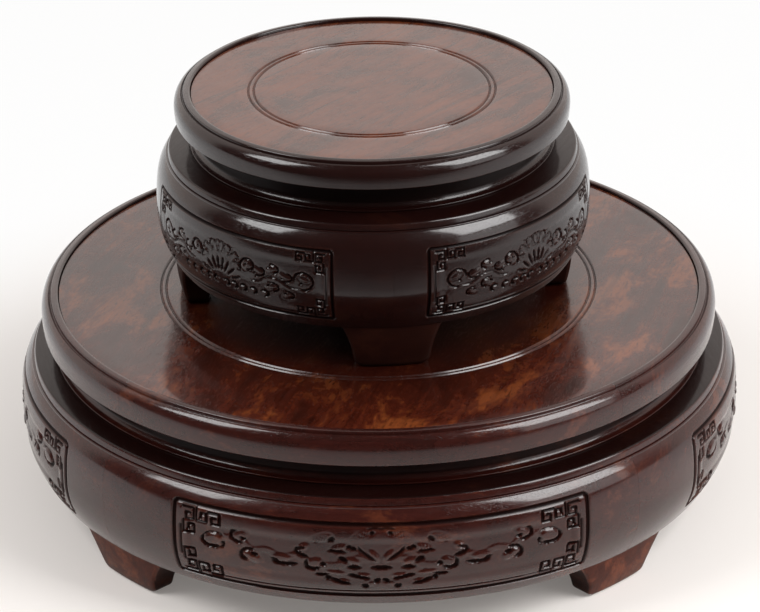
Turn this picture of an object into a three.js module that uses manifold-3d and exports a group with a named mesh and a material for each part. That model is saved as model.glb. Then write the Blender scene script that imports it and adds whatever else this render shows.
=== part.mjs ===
// Round carved display stand in dark rosewood, in two tiers: a small stand set on a large one.
// Each stand is a framed round top on a coved waist, a moulded shoulder and a drum-bellied apron
// with four grooved carved fields, carried by four tapered feet at the apron's seams.
// Millimetres, +Z up. The origin is on the floor at the axis of the large stand, and the
// viewer's side is -Y. Plan angles run from -Y towards +X, in degrees.

import * as THREE from 'three';
import { mergeVertices } from 'three/addons/utils/BufferGeometryUtils.js';
import Module from 'manifold-3d';

const wasm = await Module();
wasm.setup();

// Driving dimensions of the large stand
const LOWER = {
  name: 'lower',
  height: 110, // floor to display face
  rimRadius: 175, // over the bullnose edge
  rimWidth: 9.1, // edge of the panel to the edge of the rim
  rimDepth: 15.2, // display face to the underside of the rim
  ringLineRadius: 112.8, // pair of scribed rings on the display face
  panelThickness: 12,
  waistHeight: 13, // underside of the rim to the ledge
  waistInset: 5.8, // foot of the waist inside the rim's edge
  ledgeOverhang: 5.6, // edge of the ledge beyond the rim's edge
  shoulderThickness: 5.1,
  apronTopOverhang: 6.6, // all three beyond the rim's edge
  bellyOverhang: 12.8,
  apronFootOverhang: 4.4,
  bellyHeight: 48, // fullest line above the floor
  fieldTopMargin: 6.3, // carved field to the apron's top and bottom edges
  fieldBottomMargin: 8.7,
  fieldTurn: 0, // direction of the carved field before the first foot
  footTurn: 42.8, // direction of the first foot and of the apron seams
  footHeight: 21, // floor to the apron's lower edge
  footInset: 4.7, // foot on the floor inside the rim's edge
  footTopWidth: 54,
  footWidth: 33, // across the foot at the floor
  battenWidth: 26,
  battenDepth: 12, // below the panel
};

// Driving dimensions of the small stand
const UPPER = {
  name: 'upper',
  height: 108.1,
  rimRadius: 100.6,
  rimWidth: 8.7,
  rimDepth: 12,
  ringLineRadius: 62.7,
  panelThickness: 9.6,
  waistHeight: 15,
  waistInset: 7.5,
  ledgeOverhang: 4.3,
  shoulderThickness: 4.6,
  apronTopOverhang: 5.4,
  bellyOverhang: 10.6,
  apronFootOverhang: 2.9,
  bellyHeight: 47.7,
  fieldTopMargin: 8.4,
  fieldBottomMargin: 7.7,
  fieldTurn: -43.3,
  footTurn: 5,
  footHeight: 26,
  footInset: 5.3,
  footTopWidth: 50,
  footWidth: 34,
  battenWidth: 20,
  battenDepth: 9,
};

// How far the small stand is set off the large one's axis
const UPPER_OFFSET_X = -2;

// Layout and joinery shared by both stands
const QUARTERS = 4; // curved pieces in each built-up ring, carved fields and feet
const SHOULDER_SEAM_LEAD = 15; // shoulder seams stand this far from the apron seams
const FIELD_HALF_ANGLE = 33;
const FLATS = 44; // flats in one turn, so that the quarter points fall on edges
const JOINT_GAP = 0.3; // glue line between pieces
const RING_LINE_SPACING = 2.6; // between the two scribed rings
const RING_LINE_WIDTH = 0.9;
const RING_LINE_DEPTH = 0.6;
const PANEL_LIP = 5.5; // thickness of the panel's edge, which lies in the rim's rebate
const REBATE_WIDTH = 14; // how far the rim runs in under the panel
const RIM_LIP_HEIGHT = 1.7; // raised inner edge of the rim above the display face
const RIM_LIP_WIDTH = 3.8;
const RIM_QUIRK = 0.8; // fine groove between the lip and the bullnose
const BULLNOSE_WIDTH = 4.2;
const BULLNOSE_RETURN = 2.2; // how far the bullnose draws back at its lower edge
const WAIST_WALL = 14;
const WAIST_MARGIN = 1; // level part of the ledge outside the foot of the waist
const COVE_DEPTH = 4;
const LEDGE_FALL = 1.4;
const APRON_WALL = 24; // at the fullest line
const BEAD_HEIGHT = 2.2; // bead along the apron's upper edge
const BEAD_DEPTH = 0.8;
const BELLY_STEPS = 5; // flats of the belly over the height of a carved field
const CURVE_STEPS = 3; // flats in each short curve of a moulding or foot
const BORDER_WIDTH = 1.6; // groove round each carved field
const BORDER_DEPTH = 2.2;
const FOOT_SETBACK = 0.8; // face of the foot behind the apron's lower edge
const FOOT_TOP_DEPTH = 28; // radial depth of the foot at its top and on the floor
const FOOT_BOTTOM_DEPTH = 18;
const FOOT_CORNER = 3.5;
const FOOT_ARRIS = 1; // eased lower edge of the foot's face
const FOOT_SWELL = 0.8; // fullness of the foot's face halfway up
const FOOT_TENON_WIDTH = 20; // along the apron
const FOOT_TENON_THICKNESS = 8;
const FOOT_TENON_HEIGHT = 26; // above the foot
const FOOT_TENON_ROOT = 1.2; // sunk in the foot
const RIM_TONGUE_WIDTH = 8; // across the rim
const RIM_TONGUE_THICKNESS = 3;
const RIM_TONGUE_LENGTH = 9; // on each side of the joint
const BATTEN_TENON_WIDTH = 14;
const BATTEN_TENON_THICKNESS = 3;
const BATTEN_TENON_LENGTH = 6;
const DOVETAIL_DEPTH = 2.5;
const DOVETAIL_FLARE = 2;

const PLAN_STEP = 360 / QUARTERS;
const HALF_TURN = 180;

// Colours and surfaces
const BODY_WOOD = { color: 0x2a1411, roughness: 0.34, metalness: 0 };
const PANEL_WOOD = { color: 0x40201a, roughness: 0.3, metalness: 0 };
const FOOT_WOOD = { color: 0x3a1a14, roughness: 0.4, metalness: 0 };
const HIDDEN_WOOD = { color: 0x5a3a28, roughness: 0.7, metalness: 0 };

// Solid from a closed geometry: shared corners are welded and collapsed triangles dropped
function toSolid(geometry) {
  const bare = geometry.clone();
  bare.deleteAttribute('normal');
  bare.deleteAttribute('uv');
  const welded = mergeVertices(bare, 1e-4);
  const corners = welded.index.array;
  const triVerts = [];
  for (let i = 0; i < corners.length; i += 3) {
    const [a, b, c] = corners.slice(i, i + 3);
    if (a !== b && b !== c && c !== a) {
      triVerts.push(a, b, c);
    }
  }
  return new wasm.Manifold(new wasm.Mesh({
    numProp: 3,
    vertProperties: new Float32Array(welded.attributes.position.array),
    triVerts: new Uint32Array(triVerts),
  }));
}

function toGeometry(solid) {
  const mesh = solid.getMesh();
  const geometry = new THREE.BufferGeometry();
  geometry.setAttribute('position', new THREE.BufferAttribute(mesh.vertProperties, 3));
  geometry.setIndex(new THREE.BufferAttribute(mesh.triVerts, 1));
  geometry.computeVertexNormals();
  return geometry;
}

// Direction of a plan angle
function heading(degrees) {
  const angle = THREE.MathUtils.degToRad(degrees);
  return new THREE.Vector2(Math.sin(angle), -Math.cos(angle));
}

// Full ring or disc turned from a profile of radius and height
function turned(profile) {
  const outline = profile.getPoints(CURVE_STEPS);
  if (THREE.ShapeUtils.isClockWise(outline)) {
    outline.reverse();
  }
  const onAxis = outline.filter((point) => point.x === 0).length > 0;
  if (!onAxis && !outline[0].equals(outline[outline.length - 1])) {
    outline.push(outline[0].clone());
  }
  const geometry = new THREE.LatheGeometry(outline, FLATS);
  geometry.rotateX(Math.PI / 2);
  return toSolid(geometry);
}

// Closed outline through corner points
function polygon(points) {
  return new THREE.Shape(points.map(([x, y]) => new THREE.Vector2(x, y)));
}

// Upright prism over a sector of the plan, drawn back by half a gap from both radial edges
function sectorPrism(from, to, gap, reach, low, high) {
  const half = (to - from) / 2;
  const middle = (from + to) / 2;
  const apex = heading(middle).multiplyScalar(gap / 2 / Math.sin(THREE.MathUtils.degToRad(half)));
  const corners = [apex];
  for (const turn of [from, middle - half / 2, middle, middle + half / 2, to]) {
    corners.push(heading(turn).multiplyScalar(reach).add(apex));
  }
  const options = { depth: high - low, bevelEnabled: false };
  const geometry = new THREE.ExtrudeGeometry(new THREE.Shape(corners), options);
  geometry.translate(0, 0, low);
  return toSolid(geometry);
}

// Block centred on a plan direction: length runs outwards, width across, from one height to another
function blockAt(turn, radius, length, width, low, high) {
  const geometry = new THREE.BoxGeometry(width, length, high - low);
  geometry.translate(0, -radius, (low + high) / 2);
  geometry.rotateZ(THREE.MathUtils.degToRad(turn));
  return toSolid(geometry);
}

// Heights and radii that follow from a stand's driving dimensions, from its own floor
function derive(stand) {
  const ledge = stand.height - stand.rimDepth - stand.waistHeight;
  const shoulderBottom = ledge - stand.shoulderThickness;
  const panelRadius = stand.rimRadius - stand.rimWidth;
  const bellyRadius = stand.rimRadius + stand.bellyOverhang;
  const apronTop = shoulderBottom - JOINT_GAP;
  return {
    rimBottom: stand.height - stand.rimDepth,
    rebateTop: stand.height - PANEL_LIP - JOINT_GAP,
    panelBottom: stand.height - stand.panelThickness,
    ledge,
    shoulderBottom,
    apronTop,
    fieldTop: apronTop - stand.fieldTopMargin,
    fieldBottom: stand.footHeight + stand.fieldBottomMargin,
    panelRadius,
    rimInner: panelRadius - REBATE_WIDTH,
    waistRadius: stand.rimRadius - stand.waistInset,
    ledgeRadius: stand.rimRadius + stand.ledgeOverhang,
    apronTopRadius: stand.rimRadius + stand.apronTopOverhang,
    bellyRadius,
    apronFootRadius: stand.rimRadius + stand.apronFootOverhang,
    apronInner: bellyRadius - APRON_WALL,
    footRadius: stand.rimRadius - stand.footInset,
  };
}

// Outer radius of the apron at a height: a parabola above and one below the fullest line
function bellyAt(stand, d, height) {
  const above = height > stand.bellyHeight;
  const edgeHeight = above ? d.apronTop : stand.footHeight;
  const edgeRadius = above ? d.apronTopRadius : d.apronFootRadius;
  const share = (height - stand.bellyHeight) / (edgeHeight - stand.bellyHeight);
  return d.bellyRadius - (d.bellyRadius - edgeRadius) * share * share;
}

// Belly points over the height of the carved fields, moved outwards by an offset
function bellyCurve(stand, d, offset) {
  const points = [];
  for (let i = 0; i <= BELLY_STEPS; i++) {
    const height = THREE.MathUtils.lerp(d.fieldBottom, d.fieldTop, i / BELLY_STEPS);
    points.push([bellyAt(stand, d, height) + offset, height]);
  }
  return points;
}

// Round top board with two scribed rings and a lip that lies in the rim's rebate
function topPanel(stand, d) {
  const face = stand.height;
  const body = d.rimInner - JOINT_GAP;
  const outline = [[0, d.panelBottom], [body, d.panelBottom], [body, face - PANEL_LIP],
    [d.panelRadius, face - PANEL_LIP], [d.panelRadius, face]];
  for (const radius of [stand.ringLineRadius, stand.ringLineRadius - RING_LINE_SPACING]) {
    outline.push([radius + RING_LINE_WIDTH / 2, face]);
    outline.push([radius, face - RING_LINE_DEPTH]);
    outline.push([radius - RING_LINE_WIDTH / 2, face]);
  }
  outline.push([0, face]);
  return turned(polygon(outline)).subtract(battenBar(stand, d, JOINT_GAP));
}

// The batten lies across the middle of two rim segments
function battenTurn(stand) {
  return stand.footTurn + PLAN_STEP / 2;
}

// Bar under the panel with a dovetailed back, grown by a clearance when it cuts its own housing
function battenBar(stand, d, clearance) {
  const half = stand.battenWidth / 2 + clearance;
  const neck = half - DOVETAIL_FLARE;
  const top = d.panelBottom + DOVETAIL_DEPTH + clearance;
  const bottom = d.panelBottom - stand.battenDepth;
  const section = polygon([[-half, bottom], [half, bottom], [half, d.panelBottom - JOINT_GAP],
    [neck, d.panelBottom - JOINT_GAP], [half, top], [-half, top],
    [-neck, d.panelBottom - JOINT_GAP], [-half, d.panelBottom - JOINT_GAP]]);
  const length = 2 * (d.rimInner - JOINT_GAP + clearance);
  const geometry = new THREE.ExtrudeGeometry(section, { depth: length, bevelEnabled: false });
  geometry.translate(0, 0, -length / 2);
  geometry.rotateX(Math.PI / 2);
  geometry.rotateZ(THREE.MathUtils.degToRad(battenTurn(stand)));
  return toSolid(geometry);
}

// Stub tenons at both ends of the batten, which run into the rim
function battenTenons(stand, d, clearance) {
  const top = d.panelBottom + DOVETAIL_DEPTH + clearance;
  const low = top - BATTEN_TENON_THICKNESS - clearance * 2;
  const reach = BATTEN_TENON_LENGTH * 2 + clearance * 2;
  const width = BATTEN_TENON_WIDTH + clearance * 2;
  const turn = battenTurn(stand);
  const nearEnd = blockAt(turn, d.rimInner - JOINT_GAP, reach, width, low, top);
  return nearEnd.add(blockAt(turn + HALF_TURN, d.rimInner - JOINT_GAP, reach, width, low, top));
}

function batten(stand, d) {
  return battenBar(stand, d, 0).intersect(turned(polygon([[0, 0], [d.rimInner - JOINT_GAP, 0],
    [d.rimInner - JOINT_GAP, stand.height], [0, stand.height]]))).add(battenTenons(stand, d, 0));
}

// Rim moulding: raised lip, fine groove, elliptical bullnose and a rebate for the panel
function rimProfile(stand, d) {
  const face = stand.height;
  const inner = d.panelRadius + JOINT_GAP;
  const quirkStart = inner + RIM_LIP_WIDTH;
  const noseTop = face + RIM_QUIRK / 2;
  const noseMiddle = face - stand.rimDepth / 2;
  const noseCentre = stand.rimRadius - BULLNOSE_WIDTH;
  const profile = new THREE.Shape();
  profile.moveTo(d.rimInner, d.rimBottom);
  profile.lineTo(stand.rimRadius - BULLNOSE_RETURN, d.rimBottom);
  profile.quadraticCurveTo(stand.rimRadius, d.rimBottom + stand.rimDepth / 5, stand.rimRadius, noseMiddle);
  profile.absellipse(noseCentre, noseMiddle, BULLNOSE_WIDTH, noseTop - noseMiddle, 0, Math.PI / 2, false);
  profile.lineTo(quirkStart, face - RIM_QUIRK / 2);
  profile.quadraticCurveTo(quirkStart - RIM_LIP_WIDTH / 4, face + RIM_LIP_HEIGHT,
    inner + RIM_LIP_WIDTH / 3, face + RIM_LIP_HEIGHT);
  profile.lineTo(inner, face + RIM_LIP_HEIGHT / 3);
  profile.lineTo(inner, d.rebateTop);
  profile.lineTo(d.rimInner, d.rebateTop);
  profile.closePath();
  return profile;
}

// Tongue across a rim joint, grown by a clearance when it cuts its own mortise
function rimTongue(stand, d, turn, clearance) {
  const radius = (d.rimInner + stand.rimRadius) / 2;
  const middle = (d.rimBottom + d.rebateTop) / 2;
  const half = RIM_TONGUE_THICKNESS / 2 + clearance;
  const length = RIM_TONGUE_LENGTH * 2 + clearance * 2;
  return blockAt(turn, radius, RIM_TONGUE_WIDTH + clearance * 2, length, middle - half, middle + half);
}

// Quarter of the rim, with a tongue at its far end and a mortise at its near end
function rimSegment(stand, d, index) {
  const from = stand.footTurn + index * PLAN_STEP;
  const to = from + PLAN_STEP;
  const sector = sectorPrism(from, to, JOINT_GAP, stand.rimRadius * 2, 0, stand.height * 2);
  const nearEnd = rimTongue(stand, d, from, JOINT_GAP);
  const farEnd = rimTongue(stand, d, to, 0);
  return turned(rimProfile(stand, d))
    .intersect(sector)
    .subtract(nearEnd)
    .subtract(battenTenons(stand, d, JOINT_GAP))
    .add(farEnd);
}

// Coved ring between the rim and the ledge
function waistRing(stand, d) {
  const low = d.ledge + JOINT_GAP;
  const high = d.rimBottom - JOINT_GAP;
  const inner = d.waistRadius - WAIST_WALL;
  const profile = new THREE.Shape();
  profile.moveTo(inner, low);
  profile.lineTo(d.waistRadius, low);
  profile.quadraticCurveTo(d.waistRadius - COVE_DEPTH * 2, (low + high) / 2,
    d.waistRadius - COVE_DEPTH / 2, high);
  profile.lineTo(inner, high);
  profile.closePath();
  return turned(profile);
}

// Quarter of the ledge above the apron
function shoulderSegment(stand, d, index) {
  const from = stand.footTurn + SHOULDER_SEAM_LEAD + index * PLAN_STEP;
  const edge = d.ledge - LEDGE_FALL;
  const inner = d.waistRadius - WAIST_WALL;
  const profile = polygon([
    [inner, d.shoulderBottom],
    [d.apronTopRadius, d.shoulderBottom],
    [d.ledgeRadius, edge - LEDGE_FALL / 2],
    [d.ledgeRadius - LEDGE_FALL / 2, edge],
    [d.waistRadius + WAIST_MARGIN, d.ledge],
    [inner, d.ledge],
  ]);
  const sector = sectorPrism(from, from + PLAN_STEP, JOINT_GAP, stand.rimRadius * 2, 0, stand.height);
  return turned(profile).intersect(sector);
}

// Belly with a bead along its upper edge and a straight wall inside
function apronProfile(stand, d) {
  const beadBottom = d.apronTop - BEAD_HEIGHT;
  const outline = [[d.apronFootRadius, stand.footHeight], ...bellyCurve(stand, d, 0)];
  outline.push([bellyAt(stand, d, beadBottom), beadBottom]);
  outline.push([d.apronTopRadius + BEAD_DEPTH, beadBottom + BEAD_HEIGHT / 3]);
  outline.push([d.apronTopRadius + BEAD_DEPTH, d.apronTop - BEAD_HEIGHT / 3]);
  outline.push([d.apronTopRadius, d.apronTop]);
  outline.push([d.apronInner, d.apronTop]);
  outline.push([d.apronInner, stand.footHeight]);
  return polygon(outline);
}

// Groove round one carved field, cut into the belly over the field's height
function fieldGroove(stand, d, middle) {
  const borderAngle = THREE.MathUtils.radToDeg(BORDER_WIDTH / d.bellyRadius);
  const reach = stand.rimRadius * 2;
  const from = middle - FIELD_HALF_ANGLE;
  const to = middle + FIELD_HALF_ANGLE;
  const outside = bellyCurve(stand, d, BORDER_DEPTH);
  const inside = bellyCurve(stand, d, -BORDER_DEPTH).reverse();
  const whole = sectorPrism(from, to, 0, reach, 0, stand.height);
  const ground = sectorPrism(from + borderAngle, to - borderAngle, 0, reach,
    d.fieldBottom + BORDER_WIDTH, d.fieldTop - BORDER_WIDTH);
  return turned(polygon([...outside, ...inside])).intersect(whole).subtract(ground);
}

// Tenon that rises from a foot across the seam of two aprons
function footTenon(stand, d, turn, clearance) {
  const radius = (d.apronInner + d.apronFootRadius) / 2;
  const low = stand.footHeight - FOOT_TENON_ROOT;
  const high = stand.footHeight + FOOT_TENON_HEIGHT + clearance;
  const width = FOOT_TENON_WIDTH + clearance * 2;
  return blockAt(turn, radius, FOOT_TENON_THICKNESS + clearance * 2, width, low, high);
}

// Quarter of the apron, from foot to foot
function apronSegment(stand, d, index) {
  const from = stand.footTurn + index * PLAN_STEP;
  const to = from + PLAN_STEP;
  const sector = sectorPrism(from, to, JOINT_GAP, stand.rimRadius * 2, 0, stand.height);
  return turned(apronProfile(stand, d))
    .intersect(sector)
    .subtract(footTenon(stand, d, from, JOINT_GAP))
    .subtract(footTenon(stand, d, to, JOINT_GAP))
    .subtract(fieldGroove(stand, d, stand.fieldTurn + (index + 1) * PLAN_STEP));
}

// Foot seen from outside: splayed flanks and rounded lower corners
function footOutline(stand) {
  const top = stand.footHeight - JOINT_GAP;
  const halfTop = stand.footTopWidth / 2;
  const half = stand.footWidth / 2;
  const outline = new THREE.Shape();
  outline.moveTo(-half + FOOT_CORNER, 0);
  outline.lineTo(half - FOOT_CORNER, 0);
  outline.quadraticCurveTo(half, 0, half + FOOT_CORNER / 2, FOOT_CORNER);
  outline.quadraticCurveTo((half + halfTop) / 2, top * 0.6, halfTop, top);
  outline.lineTo(-halfTop, top);
  outline.quadraticCurveTo(-(half + halfTop) / 2, top * 0.6, -half - FOOT_CORNER / 2, FOOT_CORNER);
  outline.quadraticCurveTo(-half, 0, -half + FOOT_CORNER, 0);
  return outline;
}

// Tapered foot, its face following the apron's curve, with a tenon
function foot(stand, d, index) {
  const turn = stand.footTurn + index * PLAN_STEP;
  const top = stand.footHeight - JOINT_GAP;
  const topRadius = d.apronFootRadius - FOOT_SETBACK;
  const ring = turned(polygon([
    [d.footRadius - FOOT_BOTTOM_DEPTH, 0],
    [d.footRadius - FOOT_ARRIS, 0],
    [d.footRadius, FOOT_ARRIS],
    [(topRadius + d.footRadius) / 2 + FOOT_SWELL, top / 2],
    [topRadius, top],
    [topRadius - FOOT_TOP_DEPTH, top],
  ]));
  const options = { depth: stand.rimRadius * 2, curveSegments: CURVE_STEPS, bevelEnabled: false };
  const geometry = new THREE.ExtrudeGeometry(footOutline(stand), options);
  geometry.rotateX(Math.PI / 2);
  geometry.rotateZ(THREE.MathUtils.degToRad(turn));
  return toSolid(geometry).intersect(ring).add(footTenon(stand, d, turn, 0));
}

function addPiece(group, name, wood, solid) {
  const mesh = new THREE.Mesh(toGeometry(solid), new THREE.MeshStandardMaterial(wood));
  mesh.name = name;
  group.add(mesh);
}

function buildStand(stand) {
  const d = derive(stand);
  const group = new THREE.Group();
  addPiece(group, `${stand.name}_top_panel`, PANEL_WOOD, topPanel(stand, d));
  addPiece(group, `${stand.name}_batten`, HIDDEN_WOOD, batten(stand, d));
  addPiece(group, `${stand.name}_waist`, BODY_WOOD, waistRing(stand, d));
  for (let index = 0; index < QUARTERS; index++) {
    const label = index + 1;
    addPiece(group, `${stand.name}_rim_segment_${label}`, BODY_WOOD, rimSegment(stand, d, index));
    addPiece(group, `${stand.name}_shoulder_segment_${label}`, BODY_WOOD, shoulderSegment(stand, d, index));
    addPiece(group, `${stand.name}_apron_segment_${label}`, BODY_WOOD, apronSegment(stand, d, index));
    addPiece(group, `${stand.name}_foot_${label}`, FOOT_WOOD, foot(stand, d, index));
  }
  return group;
}

const displayStand = new THREE.Group();
displayStand.add(buildStand(LOWER));
const smallStand = buildStand(UPPER);
smallStand.position.set(UPPER_OFFSET_X, 0, LOWER.height + JOINT_GAP);
displayStand.add(smallStand);

export default displayStand;
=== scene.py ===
# Round display stand in dark rosewood, in two tiers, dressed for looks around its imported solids.
# Profiles and carving are laid out in millimetres, and each mesh is scaled to metres as it is made.
# Plan angles run from -Y, the viewer's side, towards +X, in degrees.

import math

import bpy
import bmesh
import numpy as np
from mathutils import Matrix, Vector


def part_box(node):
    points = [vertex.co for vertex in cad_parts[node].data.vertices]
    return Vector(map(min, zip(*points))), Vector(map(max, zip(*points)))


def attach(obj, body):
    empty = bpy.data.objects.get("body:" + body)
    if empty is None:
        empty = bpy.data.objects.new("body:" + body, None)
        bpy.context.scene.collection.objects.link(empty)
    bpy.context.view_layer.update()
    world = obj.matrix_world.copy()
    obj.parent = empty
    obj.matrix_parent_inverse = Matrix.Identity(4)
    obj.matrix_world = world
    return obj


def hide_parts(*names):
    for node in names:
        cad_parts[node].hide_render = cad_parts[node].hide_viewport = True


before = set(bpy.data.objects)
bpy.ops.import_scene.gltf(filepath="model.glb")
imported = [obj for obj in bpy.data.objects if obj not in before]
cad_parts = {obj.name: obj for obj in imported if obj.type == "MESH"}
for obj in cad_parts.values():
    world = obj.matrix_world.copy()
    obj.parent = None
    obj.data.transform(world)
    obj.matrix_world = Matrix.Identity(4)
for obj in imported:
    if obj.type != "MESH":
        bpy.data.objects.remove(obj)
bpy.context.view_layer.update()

MM = 0.001
TINY = 1e-9

# Camera of the photograph, in metres and degrees, with its lens and sensor in millimetres
CAMERA_TARGET = (0.0008, 0.0, 0.0951)
CAMERA_DISTANCE = 1.8655
CAMERA_PITCH = 26.11
CAMERA_ROLL = -0.70
CAMERA_REACH = 50
CAMERA_LENS = 169.2
SENSOR_WIDTH = 36

# Layout shared by both stands
QUARTERS = 4
PLAN_STEP = 360 / QUARTERS
SHOULDER_SEAM_LEAD = 15
FIELD_HALF_ANGLE = 33
JOINT_GAP = 0.3
SEAM_GAP = 0.02

# Fineness of the meshes
TURN_STEP = 1.0  # degrees between the columns of a plain ring
CARVE_STEP = 0.55  # spacing of the carved grid
FIELD_MARGIN = 0.5  # degrees of fine grid outside a field
PLAIN_COLUMNS = 9  # columns between a field and a seam
SEAM_EASE = 0.05  # eased edge at the end of each segment
SHARP_ANGLE = 38
WELD = 0.001
EASING_STEPS = 4
EASING_ROOM = 0.45  # most of an outline's side that an easing takes
LINE_STEPS = 6
NOSE_FOOT_STEPS = 6
NOSE_STEPS = 14
COVE_STEPS = 8

# Grain of the wood: lengths along the grain and widths across it
FIGURE_GRAIN = (52, 27)
VEIN_GRAIN = (140, 9)
STREAK_GRAIN = (60, 1.6)
FLECK_GRAIN = (5, 1.6)
PORE_GRAIN = (3.2, 0.35)
SWELL_GRAIN = (14, 14)

# Tones of the wood: the values of each noise over which it sets in, and the share that it takes
CLOUD_RANGE = (0.54, 0.36)
VEIN_RANGE = (0.54, 0.68)
VEIN_SHARE = 0.6
STREAK_RANGE = (0.3, 0.7)
STREAK_SHARE = 0.3
FLECK_RANGE = (0.60, 0.68)
# Share of darkening by the wood's stain and by painted shadow
STAIN_AND_SHADOW_SHARE = 0.85
PANEL_STAIN = 0.1
EVEN_SHARE = 0.5
# Painted shade in hollows and undersides: its tone against the dark wood and its share
PAINTED_SHADE_TONE = 0.3
PAINTED_SHADE_SHARE = 0.85
WEAR_RANGE = (0.35, 0.65)
WEAR_SHARES = (0.04, 0.16)

# Finish of the wood: relief of its grain, and the lacquer over it
WOOD_ROUGHNESS = (0.34, 0.5)
SPECULAR_LEVEL = 0.05
PORE_RANGE = (0.60, 0.70)
PORE_SINK = 0.5
STREAK_RISE = 0.25
GRAIN_DEPTH = 0.12
GRAIN_STRENGTH = 0.6
LACQUER_GRAIN = 0.25
LACQUER_DEPTH = 0.25
LACQUER_STRENGTH = 0.5
COAT_ROUGHNESS = 0.12
COAT_IOR = 1.52

# Studio, in metres: lamps by plan angle, elevation, distance, size and radiance, where 1 is white
FLOOR_HALF = 6
FLOOR_COLOR = (0.87, 0.825, 0.79)
FLOOR_GLOW = (1, 0.93, 0.88)
FLOOR_CLEARS = (0.18, 0.4)
FLOOR_CLEAR_SHARES = (0.16, 0.92)
FLOOR_DIMS = (-0.2, -0.6)
WORLD_LEVEL = 0.35
ROOM_LEVEL = 0.04
ROOM_COLOR = (1, 0.91, 0.86)
ROOM_FRONT = (0.3, 0.0)
WHITE = (1, 1, 1)
VIEW_RAYS = ("Is Camera Ray", "Is Glossy Ray", "Is Transmission Ray")
LAMP_TARGET = (0, 0, 0.1)
LAMPS = [
    ("right_lamp", 63, 40, 1.5, (0.85, 0.9), 9.5),
    ("right_fill", 60, 10, 1.5, (0.9, 0.55), 1.8),
    ("left_lamp", -66, 45, 1.5, (0.6, 0.75), 8.4),
    ("back_lamp", 176, 30, 1.9, (2.2, 1.2), 0.22),
]

# Easings of worked edges
EASE_SHARP = 0.1
EASE_CRISP = 0.15
EASE_FINE = 0.2
EASE_HIDDEN = 0.3
EASE_FACE = 0.35
EASE_PLAIN = 0.4
EASE_WORKED = 0.5
EASE_LIP = 0.7
EASE_LEDGE = 0.8

# Moulding sizes
PANEL_LIP = 5.5
REBATE_WIDTH = 14
RING_LINE_SPACING = 2.8
RING_LINE_WIDTH = 1.7
RING_LINE_DEPTH = 1.15
PANEL_STEP = 8
COVERED_EDGE = 30
RIM_LIP_HEIGHT = 1.7
RIM_LIP_FALL = 0.5
RIM_LIP_WIDTH = 3.8
RIM_QUIRK = 0.8
NOSE_WIDTH = 5.2
NOSE_TOP_TURN = 71
NOSE_UNDERCUT = 0.35
NOSE_FOOT = 1.2
NOSE_START = 1.44
WAIST_WALL = 14
WAIST_MARGIN = 1
WAIST_TOP = 1
WAIST_FILLET = 0.7
COVE_DEPTH = 4
COVE_FOOT = 6
COVE_LEAN = 1.2
LEDGE_FALL = 1.4
APRON_WALL = 24
APRON_EDGE = 0.9
BELLY_EVEN = 0.35
BELLY_POWER = 6
FOOT_SHARES = np.array([0, 0.015, 0.04, 0.08, 0.13, *np.linspace(0.2, 1, 9)])
FOOT_BOWS = np.linspace(0.8, -0.8, 9)
FOOT_SETBACK = 0.8
FOOT_TOP_DEPTH = 22
FOOT_BOTTOM_DEPTH = 12
FOOT_BACK_EASE = 1.5
FOOT_FRONT_EASE = 1.8
FOOT_CORNER = 4.5
FOOT_CORNER_REACH = 1.5
FOOT_FLARE = 0.15
FOOT_SWELL = 0.8
FLOOR_EASE = 1.2
FLOOR_EASE_SHARE = 0.08
FLOOR_EASE_SIDES = 0.3

# Painted shade in the hollows of the mouldings: darker wood with less lacquer on the waists, the ledges and
# the feet's sides
WAIST_SHADE = 0.88
FLARE_SHADE = 0.3
FLARE_HEIGHT = 3.6
LEDGE_PAINTED_SHADE = 0.55
FOOT_SIDE_SHADE = 0.9
FOOT_FRONT_REACH = 1

# Carving sizes
BORDER_WIDTH = 2.3
BORDER_DEPTH = 1.2
BORDER_ROUNDING = 2.0
FOOT_LINE_INSET = 4.2
FINE_LINE_WIDTH = 0.9
FINE_LINE_DEPTH = 0.5
SIDE_LINE_INSET = 5.2
SIDE_LINE_WIDTH = 1.8
SIDE_LINE_DEPTH = 0.7
GROUND_INSET = 7.5
GROUND_SLOPE = 4.0
GROOVE_END = 0.45
LOBE_EDGE = 1.3
LOBE_CROWN = 0.3
LOBE_NARROWING = (0.2, 2)
OUTLINE_REACH = 1.06
OUTLINE_WIDTH = 0.55
STEM_WIDEN = 3.0
STEM_RISE = 0.4
STEM_EDGE = 1.5
HATCH_DEPTH = 0.35
HATCH_SPACING = 1.5
HATCH_SLANT = 0.7
HATCH_END = 0.95
HATCH_FADE = 3
TOOL_MARK_DEPTH = 0.03
TOOL_MARK_SEED = 7
FRET_INSET = 2.6
FRET_HEIGHT = 13.5
HOOK_SIZE = 6.2
HOOK_CUT_WIDTH = 1.7
HOOK_CUT_DEPTH = 1.05
HOOK_LINE = np.array([(0, 0.1), (1, 0.1), (1, 1), (0.3, 1), (0.3, 0.5), (0.68, 0.5)])
FRET_HOOKS = [((3.6, 0.4), False), ((10.8, 0.4), True), ((3.6, 7.8), True), ((18.0, 0.6), False)]
# Painted shade in the carving: the cut depth at which it is full, and its share on the lowered ground
FULL_SHADE_CUT = 0.75
GROUND_SHADE = 0.12
WEAR_FULL = 0.22
WEAR_REACH = 2
CREST_ROOT = 0.52
CREST_PIT_DROP = 1.0
CREST_PIT = (2.2, 1.6, 1.0)

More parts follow.
